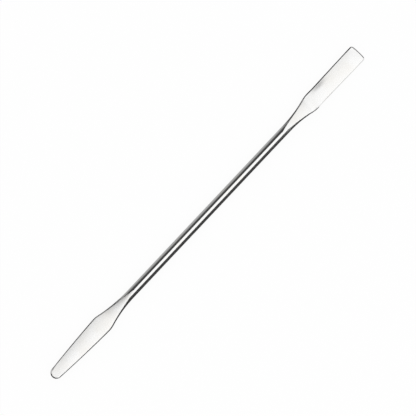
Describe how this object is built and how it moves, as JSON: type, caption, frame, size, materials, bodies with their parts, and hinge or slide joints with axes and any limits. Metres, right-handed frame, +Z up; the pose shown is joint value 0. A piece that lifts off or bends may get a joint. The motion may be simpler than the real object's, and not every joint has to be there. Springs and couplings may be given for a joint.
{
  "type": "lab spatula",
  "caption": "Double-ended steel lab spatula: a round handle forged flat at both ends, one a tapered round-tipped spear and the other a square-ended blade.",
  "frame": {"origin": "middle of the length and width of the spatula, on the surface that it lies on", "axes": "+X along the handle towards the square blade, with the spear at -X; +Z up, square to the flats of both blades; +Y to the left when looking along +X"},
  "size_m": [0.1524, 0.0068, 0.0032],
  "materials": {
    "steel": "polished bar, satin blade faces"
  },
  "bodies": {
    "root": {"spatula": "steel"}
  },
  "joints": []
}
